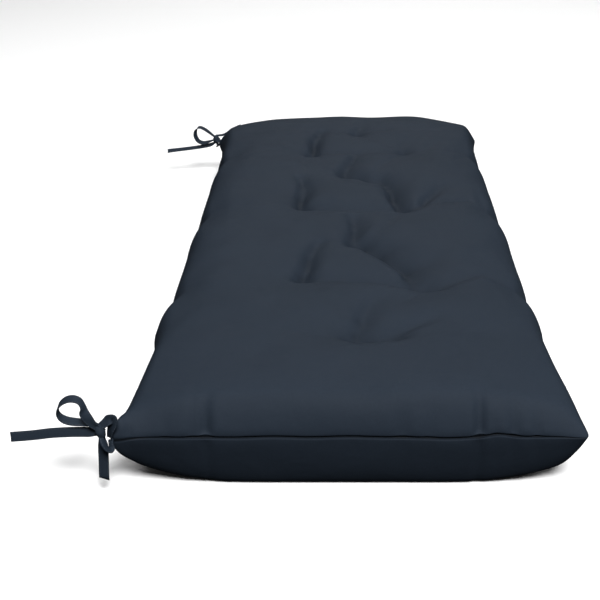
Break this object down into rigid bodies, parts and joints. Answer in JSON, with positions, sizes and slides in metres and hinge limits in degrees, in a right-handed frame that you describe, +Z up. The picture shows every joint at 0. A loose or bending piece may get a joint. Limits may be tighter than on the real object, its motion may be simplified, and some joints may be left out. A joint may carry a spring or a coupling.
{
  "type": "tufted bench cushion with corner ties",
  "caption": "Long plump seat cushion with a mid-height edge seam, tufted through both faces, with a flat cloth tie knotted at two corners of one long side.",
  "frame": {"origin": "on the surface the cushion lies on, under the middle of the cushion", "axes": "+Y along the cushion's length, +X across its depth away from the edge with the ties, +Z up"},
  "size_m": [0.6093, 1.2367, 0.1316],
  "materials": {
    "panel_cloth": "smooth woven polyester, dark blue-grey, faint satin sheen",
    "tie_cloth": "the same cloth, folded and stitched into a narrow strip"
  },
  "bodies": {
    "root": {"cushion": "panel_cloth", "tie_near_upper": "tie_cloth", "tie_near_lower": "tie_cloth", "tie_near_knot": "tie_cloth", "tie_near_loop": "tie_cloth", "tie_near_long": "tie_cloth", "tie_near_short": "tie_cloth", "tie_far_upper": "tie_cloth", "tie_far_lower": "tie_cloth", "tie_far_knot": "tie_cloth", "tie_far_loop": "tie_cloth", "tie_far_long": "tie_cloth", "tie_far_short": "tie_cloth"}
  },
  "joints": []
}
